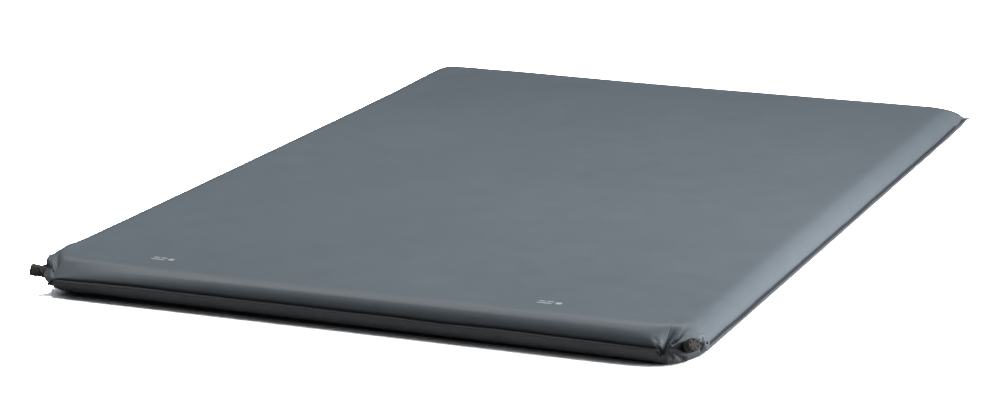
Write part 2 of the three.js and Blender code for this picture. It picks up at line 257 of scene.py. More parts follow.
def boat_section(distance):
    """Across and up on the boot's boat section at a distance along the sheet from its middle,
    and the distance at which the section ends."""
    half, high = BOAT_HALF + SLEEVE_GROW, BOAT_HIGH + SLEEVE_GROW
    across = np.linspace(0, half, 200)
    up = high * np.cos(math.pi / 2 * across / half)
    along = np.concatenate([[0], np.cumsum(np.hypot(np.diff(across), np.diff(up)))])
    away, reach = np.abs(distance), along[-1]
    on_boat = away <= reach
    beyond = np.where(on_boat, np.interp(away, along, across), half + away - reach)
    return np.sign(distance) * beyond, np.where(on_boat, np.interp(away, along, up), 0.0), reach


def corner_directions(sign):
    """Out of a cut corner, and anticlockwise along it."""
    outward = np.array([sign, -1.0]) / math.sqrt(2)
    return outward, np.array([-outward[1], outward[0]])


def hold_on_boot(side, grid):
    """Pin the sheets over and under a boot, and part them there."""
    datum, across, up, out = valve_axes(side)
    sign = VALVE_LIE[side][0]
    outward, tangent = corner_directions(sign)
    middle = np.array([sign * (FLAT_W - VALVE_CUT / 2), -(FLAT_L - VALVE_CUT / 2)])
    edge = middle + outward * FLANGE
    mine = grid.side == sign
    for layer, upward in ((0, 1), (1, -1)):
        offset = grid.flat[layer, :, :, :2] - edge
        along, outwards = offset @ tangent, offset @ outward
        share = np.clip(along * -sign / HOLD_BLEND + 0.5, 0, 1)   # 0 towards the side, 1 the front
        hold = BOAT_IN[side][0] * (1 - share) + BOAT_IN[side][1] * share
        section_across, section_up, reach = boat_section(along)
        inside = (mine[None, :] & (np.abs(along) < reach + 0.0012)
                  & (outwards > -(EAR_OUT - hold) - 0.0012))
        place = (datum + section_across[..., None] * across
                 + (section_up * upward)[..., None] * up
                 + (EAR_OUT + outwards)[..., None] * out)
        grid.goal[layer][inside] = place[inside]
        grid.pinned[layer] |= inside
        grid.split |= inside & (np.abs(along) < reach - 0.0006)


def gather_folds(side, grid):
    """Pin the flange's rings to each fold beside a boot."""
    sign = VALVE_LIE[side][0]
    _, tangent = corner_directions(sign)
    for at, place, lean in FOLDS[side]:
        lean = unit(np.array(lean))
        near = (grid.side == sign) & (np.abs(grid.along - at) < FOLD_HALF)
        for j in np.nonzero(near)[0]:
            slide = (grid.along[j] - at) * tangent[0] * FOLD_SPREAD
            for ring in range(WELD_RING + 1):
                out = lean * FLANGE * (WELD_RING - ring) / WELD_RING
                grid.goal[:, ring, j] = np.array(place) + out + np.array([slide, 0, 0])
                grid.pinned[:, ring, j] = True


def build_grid():
    """The flat cover as (layer, ring, column) points, top layer first, with where its pinned
    points go and which points the two layers share in the weld."""
    weld, normal, top_glue, low_glue, along, side = columns(*COVER_STEPS)
    # two flange rings as distances, then fractions of the free sheet
    depth = [-FLANGE, -FLANGE / 2] + [k / RINGS for k in range(RINGS + 1)]
    flat = np.zeros((2, len(depth), len(weld), 3))
    for layer, glue in ((0, top_glue), (1, low_glue)):
        for ring, part in enumerate(depth):
            on_flange = ring < WELD_RING
            step = normal * (-part) if on_flange else (glue - weld) * part
            flat[layer, ring, :, :2] = weld + step
    flat[..., 2] = SEAM_Z
    # distance in from the flange's edge
    far = np.zeros(flat.shape[1:3])
    for ring in range(1, len(depth)):
        far[ring] = far[ring - 1] + np.linalg.norm(flat[0, ring] - flat[0, ring - 1], axis=1)

    grid = SimpleNamespace(flat=flat, goal=flat.copy(), normal=normal, along=along, side=side,
                           pinned=np.zeros(flat.shape[:3], bool), split=np.zeros(far.shape, bool))
    grid.pinned[:, -1] = True
    grid.goal[0, -1, :, 2] = HIGH
    grid.goal[1, -1, :, 2] = 0.0
    for valve in ("left", "right"):
        hold_on_boot(valve, grid)
        gather_folds(valve, grid)
    # the weld is deeper beside the valves
    away = np.abs(along)
    deep = FLANGE + SLEEVE_DEEP * np.clip((0.056 - away) / 0.016, 0, 1) * (away < 1)
    grid.shared = (far <= deep[None, :] + 1e-5) & ~grid.split
    grid.shared[:WELD_RING + 1] |= ~grid.split[:WELD_RING + 1]
    return grid


def index_grid(shared):
    """The vertex number of every grid point; both layers use one vertex where they share it."""
    index = np.zeros((2, *shared.shape), int)
    index[0] = np.arange(shared.size).reshape(shared.shape)
    index[1] = index[0]
    index[1][~shared] = shared.size + np.arange((~shared).sum())
    return index


def grid_faces(index, shared):
    rings, count = shared.shape
    here = np.arange(count)
    after = (here + 1) % count
    faces = []
    for k in range(rings - 1):
        faces.append(np.stack([index[0, k, here], index[0, k, after],
                               index[0, k + 1, after], index[0, k + 1, here]], 1))
        low = np.stack([index[1, k, here], index[1, k + 1, here],
                        index[1, k + 1, after], index[1, k, after]], 1)
        welded = (shared[k, here] & shared[k, after]
                  & shared[k + 1, after] & shared[k + 1, here])
        faces.append(low[~welded])
    return np.concatenate(faces)


# ---------------------------------------------------------------- meshes
def make_mesh(name, verts, faces):
    """A mesh from points and a list of face arrays, each with its own number of corners."""
    mesh = bpy.data.meshes.new(name)
    mesh.vertices.add(len(verts))
    mesh.vertices.foreach_set("co", np.asarray(verts, np.float32).ravel())
    loops = np.concatenate([part.ravel() for part in faces]).astype(np.int32)
    sizes = np.concatenate([np.full(len(part), part.shape[1], np.int32) for part in faces])
    starts = np.concatenate([[0], np.cumsum(sizes)[:-1]]).astype(np.int32)
    mesh.loops.add(len(loops))
    mesh.loops.foreach_set("vertex_index", loops)
    mesh.polygons.add(len(sizes))
    mesh.polygons.foreach_set("loop_start", starts)
    mesh.polygons.foreach_set("loop_total", sizes)
    mesh.update(calc_edges=True)
    mesh.validate()
    return mesh


def place_object(name, data):
    thing = bpy.data.objects.new(name, data)
    bpy.context.scene.collection.objects.link(thing)
    return thing


def add_cloth_data(mesh, flat_points, rim_shade_share):
    """Give a mesh its flat cloth coordinates, its rim attribute of painted shade and smooth shading.
    """
    corners = np.zeros(len(mesh.loops), np.int32)
    mesh.loops.foreach_get("vertex_index", corners)
    flat_map = mesh.uv_layers.new(name="cloth")
    flat_map.data.foreach_set("uv", flat_points[corners].astype(np.float32).ravel())
    mesh.polygons.foreach_set("use_smooth", np.ones(len(mesh.polygons), bool))
    # the rim attribute carries the share of painted shade on the welded rim
    rim = mesh.attributes.new("rim", "FLOAT", "POINT")
    rim.data.foreach_set("value", np.asarray(rim_shade_share, np.float32))


# ---------------------------------------------------------------- inflating the cover
def press_shares(flat, index):
    """Share of the full pressure at each vertex: none on the flange, most at front corners."""
    away = np.hypot(np.abs(flat[:, 0]) - FLAT_W + 0.03, flat[:, 1] + FLAT_L - 0.03)
    share = np.clip((0.13 - away) / 0.05, 0, 1)
    walls = np.ones(len(flat))
    walls[index[0][:WELD_RING]] = 0
    return (1 + (BOOST - 1) * share) / BOOST * walls


def inflate(grid):
    """The simulated cover as (layer, ring, column) points."""
    index = index_grid(grid.shared)
    count = index.max() + 1
    flat, goal, pin = np.zeros((count, 3)), np.zeros((count, 3)), np.zeros(count)
    for layer in (1, 0):
        flat[index[layer]] = grid.flat[layer]
        goal[index[layer]] = grid.goal[layer]
        pin[index[layer]] = grid.pinned[layer]
    cover = place_object("cover_sim",
                         make_mesh("cover_sim", flat, [grid_faces(index, grid.shared)]))
    bpy.context.view_layer.objects.active = cover

    cover.shape_key_add(name="Basis")
    key = cover.shape_key_add(name="Inflated")
    key.data.foreach_set("co", goal.astype(np.float32).ravel())
    for value, at_frame in ((0, 1), (1, RISE_FRAMES)):
        key.value = value
        key.keyframe_insert("value", frame=at_frame)

    pin_group = cover.vertex_groups.new(name="pin")
    pin_group.add([int(i) for i in np.nonzero(pin)[0]], 1.0, "REPLACE")
    press_group = cover.vertex_groups.new(name="press")
    share = press_shares(flat, index)
    for level in np.unique(np.round(share, 2)):
        if level > 0:
            members = np.nonzero(np.abs(share - level) < 0.00501)[0]
            press_group.add([int(i) for i in members], float(level), "REPLACE")

    cloth = cover.modifiers.new("Cloth", "CLOTH")
    for setting, value in CLOTH.items():
        setattr(cloth.settings, setting, value)
    cloth.settings.effector_weights.gravity = 0
    cloth.collision_settings.use_collision = False
    cloth.collision_settings.use_self_collision = False
    cloth.point_cache.frame_start = 1
    cloth.point_cache.frame_end = FRAMES + 5
    scene = bpy.context.scene
    for at_frame in range(1, FRAMES + 1):
        scene.frame_set(at_frame)
    inflated = cover.evaluated_get(bpy.context.evaluated_depsgraph_get()).data
    points = np.zeros(len(inflated.vertices) * 3, np.float32)
    inflated.vertices.foreach_get("co", points)
    bpy.data.objects.remove(cover)
    scene.frame_set(1)
    return points.reshape(-1, 3).astype(float)[index]


# ---------------------------------------------------------------- shaping the inflated cover
def shape_rim(points, grid):
    """Set the flange's stance; points are changed in place."""
    height = points[:, :, :, 2]
    height[:] = np.minimum(np.maximum(height, 0.0002), HIGH + 0.0006)
    # the flange's strip keeps just below the weld's height, except beside the valves
    free = np.where(grid.side != 0, np.clip((np.abs(grid.along) - 0.070) / 0.030, 0, 1), 1.0)
    for ring, lift in ((0, -0.0012), (1, -0.0005)):
        height[:, ring] = height[:, ring] * (1 - free) + (height[:, WELD_RING] + lift) * free
    # the pointed ear of the rim at the back right turns up and outwards
    away = np.hypot(points[0, 0, :, 0] - HALF_W, points[0, 0, :, 1] - HALF_L)
    raised, drawn = np.exp(-(away / 0.022) ** 2), np.exp(-(away / 0.010) ** 2)
    for ring, lift in enumerate((0.0075, 0.0055, 0.0035, 0.0015)):
        height[:, ring] += raised * lift
    heading = np.array([math.cos(0.38), math.sin(0.38)])
    for ring, shift in enumerate((0.009, 0.006, 0.003)):
        points[:, ring, :, :2] += drawn[:, None] * shift * heading


# where the top sheet stands fuller over the front left valve: middle, reach, push
FULLER = (
    ((-0.648, -0.932, 0.051), 0.026, (-0.0030, -0.0010, 0.0085)),
    ((-0.645, -0.895, 0.060), 0.045, (-0.0010, 0.0, 0.0034)),
)


def fill_over_valve(points, grid):
    past_weld = np.clip((np.arange(points.shape[1]) - 3) / 3.0, 0, 1)
    clear = past_weld[:, None] * (1 - grid.pinned[0].astype(float))
    for middle, reach, push in FULLER:
        away = np.linalg.norm(points[0] - np.array(middle), axis=2)
        full = np.exp(-(away / reach) ** 2) * clear
        points[0] += full[..., None] * np.array(push)


def refine(points, shared):
    """Twice the grid both ways, by cubic midpoints. Welded places stay common to both layers."""
    def across_columns(layer):
        middle = (9 * (layer + np.roll(layer, -1, 1))
                  - np.roll(layer, 1, 1) - np.roll(layer, -2, 1)) / 16
        fine = np.empty((layer.shape[0], layer.shape[1] * 2) + layer.shape[2:])
        fine[:, ::2], fine[:, 1::2] = layer, middle
        return fine

    def across_rings(layer):
        rings = layer.shape[0]
        padded = np.concatenate([2 * layer[:1] - layer[1:2], layer,
                                 2 * layer[-1:] - layer[-2:-1]])
        middle = (9 * (padded[1:rings] + padded[2:rings + 1])
                  - padded[0:rings - 1] - padded[3:rings + 2]) / 16
        fine = np.empty((2 * rings - 1,) + layer.shape[1:])
        fine[::2], fine[1::2] = layer, middle
        return fine

    fine = np.stack([across_rings(across_columns(layer)) for layer in points])
    common = np.zeros((shared.shape[0] * 2 - 1, shared.shape[1] * 2), bool)
    common[::2, ::2] = shared
    common[::2, 1::2] = shared & np.roll(shared, -1, 1)
    common[1::2] = common[:-1:2] & common[2::2]
    mean = fine.mean(0)
    fine[:, common] = mean[common]
    return fine


def noise_along(way, seed, octaves):
    """Smooth seeded noise of one variable, about -1..1, period 1."""
    rng = np.random.default_rng(seed)
    total = np.zeros_like(way)
    for octave in range(octaves):
        for cycles in rng.integers(1, 4, 3) * 2 ** octave:
            total += (rng.uniform(.4, 1) / (octave + 1)
                      * np.sin(2 * np.pi * (cycles * way + rng.uniform())))
    return total / 3


def waves_over(x, y, seed, shortest, longest):
    """Smooth seeded undulation over the plan, about -1..1, between two wavelengths."""
    rng = np.random.default_rng(seed)
    total = np.zeros_like(x)
    count = 26
    for _ in range(count):
        angle = rng.uniform(0, 2 * np.pi)
        length = np.exp(rng.uniform(np.log(shortest), np.log(longest)))
        phase = rng.uniform(0, 2 * np.pi)
        across = x * math.cos(angle) + y * math.sin(angle)
        total += np.sin(2 * np.pi * across / length + phase)
    return total / math.sqrt(count / 2) / 1.6


def pucker(fine, grid):
    """Short ripples square to the weld, dying out up the wall; fine is changed in place."""
    _, rings, count, _ = fine.shape
    weld = 2 * WELD_RING
    step = np.linalg.norm(np.roll(fine[0, weld], -1, 0) - fine[0, weld], axis=1)
    way = np.concatenate([[0], np.cumsum(step)[:-1]]) / step.sum()
    ripple = noise_along(way * 60, 11, 3) * 0.5 + noise_along(way * 17, 12, 2) * 0.5
    sway = noise_along(way * 9, 14, 3)
    outward = np.zeros((count, 3))
    outward[:, :2] = np.repeat(grid.normal, 2, 0)
    for layer in (0, 1):
        wall = np.linalg.norm(fine[layer] - fine[layer, weld][None], axis=2)
        fade = np.exp(-(wall / 0.018) ** 2)
        # pinned places, softened sideways, stay still
        lock = np.repeat(np.repeat(grid.pinned[layer], 2, 0)[:rings], 2, 1).astype(float)
        lock = np.maximum(lock, np.roll(lock, 1, 1))
        for _ in range(3):
            lock = np.maximum(lock, (np.roll(lock, 1, 1) + np.roll(lock, -1, 1)) / 2 * 0.9)
        lock[-1] = 1
        amount = fade * (1 - lock)
        fine[layer] += (amount * ripple[None] * 0.0006)[..., None] * outward[None]
        fine[layer, :, :, 2] += amount * sway[None] * 0.0011


# ---------------------------------------------------------------- the two closed sheets
def fill_middle(edge, inward, spacing):
    """Staggered points well inside a convex ring, and triangles over them and the ring.
    The triangles number the ring's points first."""
    half_x, half_y = np.abs(edge[:, 0]).max(), np.abs(edge[:, 1]).max()
    xs = np.arange(-half_x, half_x, spacing)
    rows = []
    for i, y in enumerate(np.arange(-half_y, half_y, spacing * 0.866)):
        rows.append(np.stack([xs + (spacing / 2 if i % 2 else 0), np.full(len(xs), y)], 1))
    points = np.concatenate(rows)
    inside = np.full(len(points), FAR_OFF)
    for k in range(0, len(edge), 4):
        inside = np.minimum(inside, (points - edge[k]) @ inward[k])
    points = points[inside > spacing * 0.55]
    every = np.concatenate([edge, points])
    found = delaunay_2d_cdt([Vector(p) for p in every], [], [list(range(len(edge)))], 1, 1e-7)
    source = np.array([origins[0] if origins else -1 for origins in found[3]])
    triangles = np.array([[source[v] for v in face] for face in found[2] if len(face) == 3])
    triangles = triangles[(triangles >= 0).all(1)]
    return points, triangles


def is_anticlockwise(points, triangles):
    first = points[triangles[:, 1]] - points[triangles[:, 0]]
    second = points[triangles[:, 2]] - points[triangles[:, 0]]
    return (first[:, 0] * second[:, 1] - first[:, 1] * second[:, 0] > 0).mean() > 0.5


def open_sheet(band, flat, top, spacing, extra):
    """One sheet as points, face arrays and flat coordinates: the simulated band, the extra
    rings inside it and a filled middle. Its normals point out of the mat."""
    band_rings, count, _ = band.shape
    glued, flat_glued = band[-1], flat[-1, :, :2]
    inward = inward_of(flat_glued)
    added = np.array([np.concatenate([flat_glued + inward * distance, glued[:, 2:]], 1)
                      for distance in extra])
    lines = np.concatenate([band, added])
    flat_lines = np.concatenate([flat[:, :, :2], added[:, :, :2]]).reshape(-1, 2)
    rings = len(lines)
    # the foam's edge gives a little: the sheet runs over it in a soft curve
    soft = np.zeros(rings)
    soft[band_rings - 10:rings - 1] = 1
    soft[band_rings - 13:band_rings - 10] = (0.25, 0.5, 0.75)
    back = np.clip((flat_glued[:, 1] - (FLAT_L - 0.16)) / 0.08, 0, 1) if top else np.zeros(count)
    soft = soft[:, None] * (1 - 0.65 * back[None])
    for _ in range(26):
        mean = lines.copy()
        mean[1:-1] = (lines[:-2] + lines[2:]) / 2
        lines += (mean - lines) * 0.5 * soft[:, :, None]

    here = np.arange(count)
    after = (here + 1) % count
    quads = []
    for k in range(rings - 1):
        order = [k * count + here, k * count + after,
                 (k + 1) * count + after, (k + 1) * count + here]
        quads.append(np.stack(order if top else order[::-1], 1))
    edge = lines[-1][:, :2]
    points, triangles = fill_middle(edge, inward, spacing)
    if is_anticlockwise(np.concatenate([edge, points]), triangles) != top:
        triangles = triangles[:, ::-1]
    middle = np.concatenate([points, np.full((len(points), 1), glued[:, 2].mean())], 1)
    return (np.concatenate([lines.reshape(-1, 3), middle]),
            [np.concatenate(quads), triangles + (rings - 1) * count],
            np.concatenate([flat_lines, points]))


def undulate_top(verts, start):
    """Soft unevenness over the foam, for the points from start on, and a thicker corner."""
    x, y = verts[start:, 0].copy(), verts[start:, 1].copy()
    inset = np.minimum(FLAT_W - FREE_TOP - np.abs(x), FLAT_L - FREE_TOP - np.abs(y))
    share = np.clip(inset / 0.05, 0, 1)
    lift = waves_over(x, y, 5, 0.10, 0.45) * 0.00045 + waves_over(x, y, 6, 0.03, 0.09) * 0.00010
    verts[start:, 2] += share * share * (3 - 2 * share) * (lift - 0.0004)
    # the foam is a little thicker towards the back left corner
    near = np.exp(-((verts[:, 0] + 0.62) / 0.38) ** 2 - ((verts[:, 1] - 0.96) / 0.24) ** 2)
    verts[:, 2] += 0.0054 * near * np.clip(verts[:, 2] / HIGH, 0, 1) ** 2


def rim_shade_shares(total, edge_y, top):
    """Share of painted shade: 1 on the welded rim, 0 on the walls, for each of a sheet's points."""
    if top:
        ahead = np.clip((-edge_y - (FLAT_L - 0.06)) / 0.04, 0, 1)
        band = (np.array(RIM_SHADE_TOP_FRONT)[:, None] * ahead
                + np.array(RIM_SHADE_TOP_SIDES)[:, None] * (1 - ahead))
    else:
        band = np.repeat(RIM_SHADE_BOTTOM, len(edge_y))
    share = np.zeros(total)
    share[:band.size] = band.ravel()
    return share


def normals_of(verts, faces):
    normals = np.zeros_like(verts)
    for part in faces:
        if part.shape[1] == 4:
            area = np.cross(verts[part[:, 2]] - verts[part[:, 0]],
                            verts[part[:, 3]] - verts[part[:, 1]])
        else:
            area = np.cross(verts[part[:, 1]] - verts[part[:, 0]],
                            verts[part[:, 2]] - verts[part[:, 0]])
        for corner in range(part.shape[1]):
            np.add.at(normals, part[:, corner], area)
    return normals / np.maximum(np.linalg.norm(normals, axis=1), 1e-12)[:, None]


def close_pinholes(mesh):
    """Fill the few gaps that the triangulation leaves where the ring turns tightly."""
    work = bmesh.new()
    work.from_mesh(mesh)
    gaps = [edge for edge in work.edges if len(edge.link_faces) == 1]
    if gaps:
        layer = work.loops.layers.uv["cloth"]
        for face in bmesh.ops.holes_fill(work, edges=gaps, sides=0)["faces"]:
            face.smooth = True
            turned = False
            for loop in face.loops:
                loop[layer].uv = loop.vert.co.xy
                mate = loop.link_loop_radial_next
                if mate.face != face and mate.vert == loop.vert:
                    turned = True
            if turned:
                face.normal_flip()
        work.to_mesh(mesh)
    work.free()


def closed_sheet(name, verts, faces, flat_points, count, rim_shade_share):
    """A closed shell of the sheet: its outside face, its inside face and the cut edge."""
    normals = normals_of(verts, faces)
    total = len(verts)
    both = np.concatenate([verts + normals * SKIN_OUT, verts + normals * SKIN_IN])
    quads, triangles = faces
    here = np.arange(count)
    after = (here + 1) % count
    cut = np.stack([here, here + total, after + total, after], 1)
    if normals[count * 20:, 2].mean() < 0:
        cut = cut[:, ::-1]
    mesh = make_mesh(name, both, [quads, quads[:, ::-1] + total, cut,
                                  triangles, triangles[:, ::-1] + total])
    add_cloth_data(mesh, np.tile(flat_points, (2, 1)), np.tile(rim_shade_share, 2))
    close_pinholes(mesh)
    return place_object(name, mesh)


def build_cover():
    """The top and the bottom sheet."""
    grid = build_grid()
    points = inflate(grid)
    shape_rim(points, grid)
    fill_over_valve(points, grid)
    fine, flat = refine(points, grid.shared), refine(grid.flat, grid.shared)
    pucker(fine, grid)
    rings, count = fine.shape[1:3]
    sheets = []
    for layer, name, spacing, extra in SHEETS:
        top = layer == 0
        verts, faces, flat_points = open_sheet(fine[layer], flat[layer], top, spacing, extra)
        if top:
            undulate_top(verts, rings * count)
        rim_shade_share = rim_shade_shares(len(verts), flat[layer][0, :, 1], top)
        sheets.append(closed_sheet(name, verts, faces, flat_points, count, rim_shade_share))
    return sheets


# ---------------------------------------------------------------- the rim's punched tabs
# one beside each valve, standing on edge: centre of the hole, direction along, direction up,
# outline round the hole (anticlockwise)
TABS = {
    "left": ((-0.6325, -0.9829, 0.0517), (0.927, 0.374, 0.0), (-0.1, 0.05, 1.0),
             ((-0.0034, -0.0060), (0.0010, -0.0120), (0.0080, -0.0110),
              (0.0070, 0.0006), (0.0046, 0.0064), (-0.0034, 0.0060))),
    "right": ((0.6640, -0.9480, 0.0440), (0.62, 0.78, 0.05), (-0.35, 0.3, 1.0),
              ((-0.0055, -0.0055), (0.0055, -0.0055), (0.0065, 0.0030), (-0.0040, 0.0050))),
}
TAB_HOLE_R, TAB_THICK = 0.0019, 0.0010
TAB_RAYS = 48
# rings of a tab: fraction of the way from hole to outline, share of painted rim shade
TAB_RINGS = ((0.0, 0.8), (0.12, 0.35), (0.5, 0.0), (0.84, 0.35), (0.95, 1.0), (1.0, 1.0))


def outline_radius(outline, rays):
    """The softened outline as a distance along each ray from the hole's middle."""
    corners = np.array(outline)
    radius = np.full(len(rays), FAR_OFF)
    for start, end in zip(corners, np.roll(corners, -1, 0)):
        normal = unit(np.array([end[1] - start[1], start[0] - end[0]]))
        facing = rays @ normal
        reach = (start @ normal) / np.maximum(facing, 1e-6)
        radius = np.minimum(radius, np.where(facing > 1e-6, reach, FAR_OFF))
    for _ in range(2):
        radius = (np.roll(radius, 1) + 2 * radius + np.roll(radius, -1)) / 4
    return radius


def punched_tab(name, centre, run, rise, outline):
    centre, run, rise = (np.array(each, float) for each in (centre, run, rise))
    run = unit(run)
    rise = unit(rise - run * (rise @ run))
    face = np.cross(run, rise)
    angle = np.arange(TAB_RAYS) * 2 * math.pi / TAB_RAYS
    rays = np.stack([np.cos(angle), np.sin(angle)], 1)
    radius = outline_radius(outline, rays)
    verts, flat, share = [], [], []
    for side in (0.5, -0.5):
        for fraction, rim in TAB_RINGS:
            plan = rays * (TAB_HOLE_R + (radius - TAB_HOLE_R) * fraction)[:, None]
            thin = side * TAB_THICK * (0.55 if fraction in (0.0, 1.0) else 1.0)
            bow = 0.0012 * (plan[:, 1] / 0.010) ** 2
            verts.append(centre + plan[:, :1] * run + plan[:, 1:] * rise
                         + (thin + bow)[:, None] * face)
            flat.append(plan)
            share += [rim] * TAB_RAYS
    here = np.arange(TAB_RAYS)
    after = (here + 1) % TAB_RAYS
    rings = len(TAB_RINGS)

    def strip(ring, other):
        """Faces from one ring to another, anticlockwise as seen with the other outside."""
        ring, other = ring * TAB_RAYS, other * TAB_RAYS
        return [ring + here, other + here, other + after, ring + after]

    quads = []
    for k in range(rings - 1):
        quads.append(np.stack(strip(k, k + 1), 1))
        quads.append(np.stack(strip(rings + k, rings + k + 1)[::-1], 1))
    quads.append(np.stack(strip(rings - 1, 2 * rings - 1), 1))
    quads.append(np.stack([here, after, rings * TAB_RAYS + after, rings * TAB_RAYS + here], 1))
    mesh = make_mesh(name, np.concatenate(verts), quads)
    add_cloth_data(mesh, np.concatenate(flat), share)
    return place_object(name, mesh)


# ---------------------------------------------------------------- the foam, between the sheets
FOAM_INSET = 0.006
# its edge from top to bottom: height, further inset
FOAM_EDGE = ((HIGH - 0.0030, 0.0), (HIGH - 0.0045, 0.0012), (0.052, 0.0030), (0.035, 0.0036),
             (0.018, 0.0030), (0.0029, 0.0012), (0.0013, 0.0))


def foam_slab():
    glued = columns(*FOAM_STEPS)[2]
    inward = inward_of(glued)
    ring = glued + inward * FOAM_INSET
    count = len(ring)
    verts = [np.concatenate([ring + inward * inset, np.full((count, 1), z)], 1)
             for z, inset in FOAM_EDGE]
    verts += [np.array([[0, 0, FOAM_EDGE[k][0]]]) for k in (0, -1)]
    here = np.arange(count)
    after = (here + 1) % count
    last = len(FOAM_EDGE) - 1
    quads = np.concatenate([
        np.stack([k * count + here, (k + 1) * count + here,
                  (k + 1) * count + after, k * count + after], 1)
        for k in range(last)])
    top_centre = len(FOAM_EDGE) * count
    triangles = np.concatenate([
        np.stack([here, after, np.full(count, top_centre)], 1),
        np.stack([last * count + after, last * count + here,
                  np.full(count, top_centre + 1)], 1)])
    return place_object("foam_slab",
                        make_mesh("foam_slab", np.concatenate(verts), [quads, triangles]))


# ---------------------------------------------------------------- two small printed marks
MARKS = (("printed_mark_left", -0.42, -0.897), ("printed_mark_right", 0.357, -0.900))
MARK_SIZE, INK_THICK, INK_GAP = 0.052, 0.00012, 0.00006
# three round-ended bars and a dot, in parts of the size: centre x and y, half width and height
MARK_SHAPES = ((-0.34, 0.11, 0.12, 0.05), (-0.04, 0.11, 0.13, 0.05),
               (-0.20, -0.11, 0.27, 0.05), (0.30, 0.0, 0.12, 0.12))


def printed_mark(name, x, y, sheet):
    """A mark's thin raised shapes, laid on the sheet."""
    verts, faces = [], []
    count = 20
    for centre_x, centre_y, half_w, half_h in MARK_SHAPES:
        outline = []
        for k in range(count):
            angle = 2 * math.pi * k / count
            end = (half_w - half_h) * (1 if math.cos(angle) > 0 else -1)
            outline.append((centre_x + end + half_h * math.cos(angle),
                            centre_y + half_h * math.sin(angle)))
        base = len(verts)
        for z in (0.0, INK_THICK):
            verts += [(x + across * MARK_SIZE, y + up * MARK_SIZE, z) for across, up in outline]
        faces.append([base + count + i for i in range(count)])
        faces.append([base + i for i in range(count)][::-1])
        for i in range(count):
            k = (i + 1) % count
            faces.append([base + i, base + k, base + count + k, base + count + i])
    mesh = bpy.data.meshes.new(name)
    mesh.from_pydata(verts, [], faces)
    mesh.update()
    mark = place_object(name, mesh)
    bpy.context.view_layer.update()
    for vert in mesh.vertices:
        hit, place, _, _ = sheet.ray_cast(Vector((vert.co.x, vert.co.y, 0.2)),
                                          Vector((0, 0, -1)))
        vert.co.z += (place.z if hit else HIGH) + INK_GAP
    return mark


# ---------------------------------------------------------------- materials
def colour(red, green, blue):
    """sRGB bytes to linear RGBA."""
    def linear(value):
        return (value / 255 / 12.92) if value <= 10 else ((value / 255 + 0.055) / 1.055) ** 2.4
    return (linear(red), linear(green), linear(blue), 1.0)


def grey(level):
    return (level, level, level, 1.0)


class Nodes:
    """A short hand for building a node material."""

    def __init__(self, name):
        self.mat = bpy.data.materials.new(name)
        self.mat.use_nodes = True
        self.tree = self.mat.node_tree
        self.tree.nodes.clear()
        self.out = self.tree.nodes.new("ShaderNodeOutputMaterial")

    def add(self, kind, inputs=None, **settings):
        node = self.tree.nodes.new(kind)
        for key, value in settings.items():
            setattr(node, key, value)
        for key, value in (inputs or {}).items():
            self.put(node.inputs[key], value)
        return node

    def put(self, socket, value):
        if isinstance(value, bpy.types.NodeSocket):
            self.tree.links.new(value, socket)
        elif isinstance(value, bpy.types.Node):
            self.tree.links.new(value.outputs[0], socket)
        else:
            socket.default_value = value

    def math(self, operation, first, second=0.0):
        return self.add("ShaderNodeMath", {0: first, 1: second, 2: 0.0},
                        operation=operation).outputs[0]

    def times(self, first, second):
        return self.math("MULTIPLY", first, second)

    def plus(self, first, second):
        return self.math("ADD", first, second)

    def minus(self, first, second):
        return self.math("SUBTRACT", first, second)

    def vary(self, middle, noise, amount):
        """A value that swings about its middle with a 0..1 noise."""
        return self.plus(middle, self.times(self.minus(noise, 0.5), amount))

    def ramp(self, fac, low, high):
        """A colour ramp between two (position, colour) stops."""
        node = self.add("ShaderNodeValToRGB", {"Fac": fac})
        for stop, (position, rgba) in zip(node.color_ramp.elements, (low, high)):
            stop.position = position
            stop.color = rgba
        return node.outputs[0]

    def remap(self, value, start, end, low, high, curve="LINEAR"):
        """Turns start..end into low..high."""
        return self.add("ShaderNodeMapRange",
                        {"Value": value, "From Min": start, "From Max": end,
                         "To Min": low, "To Max": high}, interpolation_type=curve).outputs[0]

    def mix(self, fac, first, second):
        return self.add("ShaderNodeMix", {0: fac, 6: first, 7: second},
                        data_type="RGBA", blend_type="MIX").outputs[2]

    def noise(self, vector, scale, detail=2.0, rough=0.5):
        return self.add("ShaderNodeTexNoise", {"Vector": vector, "Scale": scale,
                                               "Detail": detail, "Roughness": rough}).outputs[0]

    def bump(self, height, strength, distance, normal=None):
        inputs = {"Height": height, "Strength": strength, "Distance": distance}
        if normal is not None:
            inputs["Normal"] = normal
        return self.add("ShaderNodeBump", inputs).outputs[0]

    def object_place(self):
        return self.add("ShaderNodeTexCoord").outputs["Object"]

    def cloth_place(self):
        return self.add("ShaderNodeUVMap", uv_map="cloth").outputs[0]

    def world_place(self):
        return self.add("ShaderNodeNewGeometry").outputs["Position"]

    def paint_rim_shade(self, base, share):
        # paints shade: mixes the colour towards near black by the rim attribute times the share
        rim = self.add("ShaderNodeAttribute", attribute_name="rim").outputs["Fac"]
        return self.mix(self.times(rim, share), base, colour(20, 21, 23))

    def principled(self, **inputs):
        """Ends the material; an underscore stands for a space in an input's name."""
        inputs = {key.replace("_", " "): value for key, value in inputs.items()}
        node = self.add("ShaderNodeBsdfPrincipled", inputs)
        self.tree.links.new(node.outputs[0], self.out.inputs[0])


